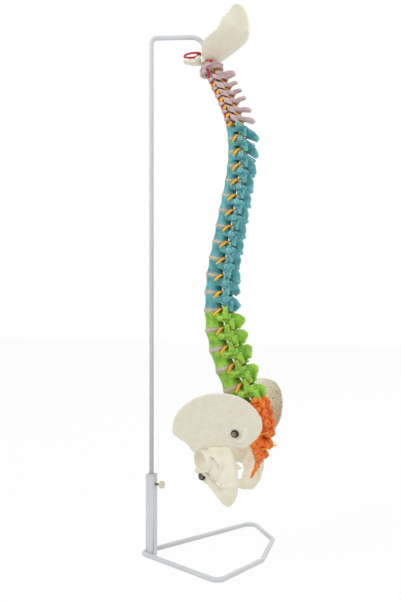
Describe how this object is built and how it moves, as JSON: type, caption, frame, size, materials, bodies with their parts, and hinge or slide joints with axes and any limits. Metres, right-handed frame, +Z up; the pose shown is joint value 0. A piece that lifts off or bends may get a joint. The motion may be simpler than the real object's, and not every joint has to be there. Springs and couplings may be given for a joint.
{
  "type": "anatomical spine model",
  "caption": "Flexible full-length spine model with occipital plate, coloured regions, discs, nerve roots and pelvis, hung from an adjustable rod on a bent-bar stand.",
  "frame": {"origin": "centre of the foot of the stand's post, on the table", "axes": "+Z up, +X from the post towards the back of the spine, +Y to the right side of the body"},
  "size_m": [0.2468, 0.3347, 0.961],
  "materials": {
    "stand_paint": "smooth satin paint",
    "bush_plastic": "moulded satin plastic",
    "dark_steel": "oiled turned steel",
    "knob_plastic": "moulded gloss plastic",
    "wire_steel": "drawn wire",
    "socket_steel": "turned",
    "core_plastic": "smooth sleeve over a bendable core",
    "bone_cream": "cast satin plastic",
    "bone_mauve": "cast satin plastic, tinted",
    "bone_teal": "cast satin plastic, tinted",
    "bone_lime": "cast satin plastic, tinted",
    "bone_orange": "cast satin plastic, tinted with darker patches",
    "disc_grey": "soft cast plastic",
    "nerve_yellow": "soft cast plastic",
    "artery_red": "soft cast plastic",
    "washer_rubber": "moulded rubber",
    "screw_steel": "oiled steel"
  },
  "bodies": {
    "stand": {"stand_base": "stand_paint", "stand_post": "stand_paint", "guide_bush": "bush_plastic"},
    "rod": {"stand_rod": "stand_paint"},
    "clamp": {"clamp_screw": "dark_steel", "clamp_knob": "knob_plastic"},
    "head": {"core_socket": "socket_steel", "hanger_wire": "wire_steel", "occipital_plate": "bone_cream", "core_cable": "core_plastic", "spinal_cord": "nerve_yellow", "vertebral_arteries": "artery_red"},
    "c1": {"vertebra_c1": "bone_mauve"},
    "c2": {"vertebra_c2": "bone_mauve"},
    "c3": {"vertebra_c3": "bone_mauve"},
    "c4": {"vertebra_c4": "bone_mauve"},
    "c5": {"vertebra_c5": "bone_mauve"},
    "c6": {"vertebra_c6": "bone_mauve"},
    "c7": {"vertebra_c7": "bone_mauve"},
    "t1": {"vertebra_t1": "bone_teal", "disc_t1_t2": "disc_grey"},
    "t2": {"vertebra_t2": "bone_teal", "disc_t2_t3": "disc_grey"},
    "t3": {"vertebra_t3": "bone_teal", "disc_t3_t4": "disc_grey"},
    "t4": {"vertebra_t4": "bone_teal", "disc_t4_t5": "disc_grey"},
    "t5": {"vertebra_t5": "bone_teal", "disc_t5_t6": "disc_grey"},
    "t6": {"vertebra_t6": "bone_teal", "disc_t6_t7": "disc_grey"},
    "t7": {"vertebra_t7": "bone_teal", "disc_t7_t8": "disc_grey"},
    "t8": {"vertebra_t8": "bone_teal", "disc_t8_t9": "disc_grey"},
    "t9": {"vertebra_t9": "bone_teal", "disc_t9_t10": "disc_grey"},
    "t10": {"vertebra_t10": "bone_teal", "disc_t10_t11": "disc_grey"},
    "t11": {"vertebra_t11": "bone_teal", "disc_t11_t12": "disc_grey"},
    "t12": {"vertebra_t12": "bone_teal", "disc_t12_l1": "disc_grey"},
    "l1": {"vertebra_l1": "bone_lime", "disc_l1_l2": "disc_grey"},
    "l2": {"vertebra_l2": "bone_lime", "disc_l2_l3": "disc_grey"},
    "l3": {"vertebra_l3": "bone_lime", "disc_l3_l4": "disc_grey"},
    "l4": {"vertebra_l4": "bone_lime", "disc_l4_l5": "disc_grey"},
    "l5": {"vertebra_l5": "bone_lime", "disc_l5_s1": "disc_grey"},
    "pelvis": {"sacrum_and_coccyx": "bone_orange", "hip_bone_left": "bone_cream", "hip_bone_right": "bone_cream", "pubic_disc": "disc_grey", "pelvis_screws": "screw_steel", "screw_washers": "washer_rubber", "sacral_nerves": "nerve_yellow"}
  },
  "joints": [
    {"name": "rod_slide", "type": "slide", "parent": "stand", "child": "rod", "axis": [0, 0, 1], "range_m": [0, 0.09]},
    {"name": "clamp_turn", "type": "hinge", "parent": "stand", "child": "clamp", "pos_m": [0.0165, 0, 0.126], "axis": [1, 0, 0], "range_deg": [-180, 180]},
    {"name": "spine_turn", "type": "hinge", "parent": "rod", "child": "head", "pos_m": [0.09035, 0.02936, 0.875], "axis": [0, 0, 1], "range_deg": [-20, 20]},
    {"name": "head_c1_bend", "type": "hinge", "parent": "head", "child": "c1", "pos_m": [0.097, 0.02936, 0.862], "axis": [0, -1, 0], "range_deg": [-0.15, 1.6], "deforming": ["core_cable", "spinal_cord", "vertebral_arteries"]},
    {"name": "c1_c2_bend", "type": "hinge", "parent": "c1", "child": "c2", "pos_m": [0.09717, 0.02936, 0.84894], "axis": [0, -1, 0], "range_deg": [-0.15, 1.6]},
    {"name": "c2_c3_bend", "type": "hinge", "parent": "c2", "child": "c3", "pos_m": [0.11018, 0.02936, 0.8197], "axis": [0, -1, 0], "range_deg": [-0.15, 1.6]},
    {"name": "c3_c4_bend", "type": "hinge", "parent": "c3", "child": "c4", "pos_m": [0.11689, 0.02936, 0.80595], "axis": [0, -1, 0], "range_deg": [-0.15, 1.6]},
    {"name": "c4_c5_bend", "type": "hinge", "parent": "c4", "child": "c5", "pos_m": [0.12336, 0.02936, 0.79209], "axis": [0, -1, 0], "range_deg": [-0.15, 1.6]},
    {"name": "c5_c6_bend", "type": "hinge", "parent": "c5", "child": "c6", "pos_m": [0.12958, 0.02936, 0.77811], "axis": [0, -1, 0], "range_deg": [-0.15, 1.6]},
    {"name": "c6_c7_bend", "type": "hinge", "parent": "c6", "child": "c7", "pos_m": [0.13481, 0.02936, 0.76373], "axis": [0, -1, 0], "range_deg": [-0.15, 1.6]},
    {"name": "c7_t1_bend", "type": "hinge", "parent": "c7", "child": "t1", "pos_m": [0.13903, 0.02936, 0.74902], "axis": [0, -1, 0], "range_deg": [-0.15, 1.6]},
    {"name": "t1_t2_bend", "type": "hinge", "parent": "t1", "child": "t2", "pos_m": [0.14253, 0.02936, 0.7269], "axis": [0, -1, 0], "range_deg": [-0.15, 1], "deforming": ["disc_t1_t2"]},
    {"name": "t2_t3_bend", "type": "hinge", "parent": "t2", "child": "t3", "pos_m": [0.14375, 0.02936, 0.70375], "axis": [0, -1, 0], "range_deg": [-0.15, 1], "deforming": ["disc_t2_t3"]},
    {"name": "t3_t4_bend", "type": "hinge", "parent": "t3", "child": "t4", "pos_m": [0.14249, 0.02936, 0.67982], "axis": [0, -1, 0], "range_deg": [-0.15, 1], "deforming": ["disc_t3_t4"]},
    {"name": "t4_t5_bend", "type": "hinge", "parent": "t4", "child": "t5", "pos_m": [0.13948, 0.02936, 0.65526], "axis": [0, -1, 0], "range_deg": [-0.15, 1], "deforming": ["disc_t4_t5"]},
    {"name": "t5_t6_bend", "type": "hinge", "parent": "t5", "child": "t6", "pos_m": [0.13461, 0.02936, 0.6302], "axis": [0, -1, 0], "range_deg": [-0.15, 1], "deforming": ["disc_t5_t6"]},
    {"name": "t6_t7_bend", "type": "hinge", "parent": "t6", "child": "t7", "pos_m": [0.12953, 0.02936, 0.60438], "axis": [0, -1, 0], "range_deg": [-0.15, 1], "deforming": ["disc_t6_t7"]},
    {"name": "t7_t8_bend", "type": "hinge", "parent": "t7", "child": "t8", "pos_m": [0.12424, 0.02936, 0.57781], "axis": [0, -1, 0], "range_deg": [-0.15, 1], "deforming": ["disc_t7_t8"]},
    {"name": "t8_t9_bend", "type": "hinge", "parent": "t8", "child": "t9", "pos_m": [0.11875, 0.02936, 0.55049], "axis": [0, -1, 0], "range_deg": [-0.15, 1], "deforming": ["disc_t8_t9"]},
    {"name": "t9_t10_bend", "type": "hinge", "parent": "t9", "child": "t10", "pos_m": [0.11303, 0.02936, 0.52241], "axis": [0, -1, 0], "range_deg": [-0.15, 1], "deforming": ["disc_t9_t10"]},
    {"name": "t10_t11_bend", "type": "hinge", "parent": "t10", "child": "t11", "pos_m": [0.10843, 0.02936, 0.49334], "axis": [0, -1, 0], "range_deg": [-0.15, 1], "deforming": ["disc_t10_t11"]},
    {"name": "t11_t12_bend", "type": "hinge", "parent": "t11", "child": "t12", "pos_m": [0.10606, 0.02936, 0.46321], "axis": [0, -1, 0], "range_deg": [-0.15, 1], "deforming": ["disc_t11_t12"]},
    {"name": "t12_l1_bend", "type": "hinge", "parent": "t12", "child": "l1", "pos_m": [0.10606, 0.02936, 0.43221], "axis": [0, -1, 0], "range_deg": [-0.15, 1], "deforming": ["disc_t12_l1"]},
    {"name": "l1_l2_bend", "type": "hinge", "parent": "l1", "child": "l2", "pos_m": [0.10902, 0.02936, 0.39834], "axis": [0, -1, 0], "range_deg": [-0.15, 2], "deforming": ["disc_l1_l2"]},
    {"name": "l2_l3_bend", "type": "hinge", "parent": "l2", "child": "l3", "pos_m": [0.11657, 0.02936, 0.36429], "axis": [0, -1, 0], "range_deg": [-0.15, 2], "deforming": ["disc_l2_l3"]},
    {"name": "l3_l4_bend", "type": "hinge", "parent": "l3", "child": "l4", "pos_m": [0.1288, 0.02936, 0.3307], "axis": [0, -1, 0], "range_deg": [-0.15, 2], "deforming": ["disc_l3_l4"]},
    {"name": "l4_l5_bend", "type": "hinge", "parent": "l4", "child": "l5", "pos_m": [0.1434, 0.02936, 0.29711], "axis": [0, -1, 0], "range_deg": [-0.15, 2], "deforming": ["disc_l4_l5"]},
    {"name": "l5_pelvis_bend", "type": "hinge", "parent": "l5", "child": "pelvis", "pos_m": [0.16043, 0.02936, 0.2637], "axis": [0, -1, 0], "range_deg": [-0.15, 2], "deforming": ["disc_l5_s1"]}
  ],
  "couplings": [
    {"joint": "c1_c2_bend", "follows": "head_c1_bend", "ratio": 1},
    {"joint": "c2_c3_bend", "follows": "head_c1_bend", "ratio": 1},
    {"joint": "c3_c4_bend", "follows": "head_c1_bend", "ratio": 1},
    {"joint": "c4_c5_bend", "follows": "head_c1_bend", "ratio": 1},
    {"joint": "c5_c6_bend", "follows": "head_c1_bend", "ratio": 1},
    {"joint": "c6_c7_bend", "follows": "head_c1_bend", "ratio": 1},
    {"joint": "c7_t1_bend", "follows": "head_c1_bend", "ratio": 1},
    {"joint": "t2_t3_bend", "follows": "t1_t2_bend", "ratio": 1},
    {"joint": "t3_t4_bend", "follows": "t1_t2_bend", "ratio": 1},
    {"joint": "t4_t5_bend", "follows": "t1_t2_bend", "ratio": 1},
    {"joint": "t5_t6_bend", "follows": "t1_t2_bend", "ratio": 1},
    {"joint": "t6_t7_bend", "follows": "t1_t2_bend", "ratio": 1},
    {"joint": "t7_t8_bend", "follows": "t1_t2_bend", "ratio": 1},
    {"joint": "t8_t9_bend", "follows": "t1_t2_bend", "ratio": 1},
    {"joint": "t9_t10_bend", "follows": "t1_t2_bend", "ratio": 1},
    {"joint": "t10_t11_bend", "follows": "t1_t2_bend", "ratio": 1},
    {"joint": "t11_t12_bend", "follows": "t1_t2_bend", "ratio": 1},
    {"joint": "t12_l1_bend", "follows": "t1_t2_bend", "ratio": 1},
    {"joint": "l2_l3_bend", "follows": "l1_l2_bend", "ratio": 1},
    {"joint": "l3_l4_bend", "follows": "l1_l2_bend", "ratio": 1},
    {"joint": "l4_l5_bend", "follows": "l1_l2_bend", "ratio": 1},
    {"joint": "l5_pelvis_bend", "follows": "l1_l2_bend", "ratio": 1}
  ]
}
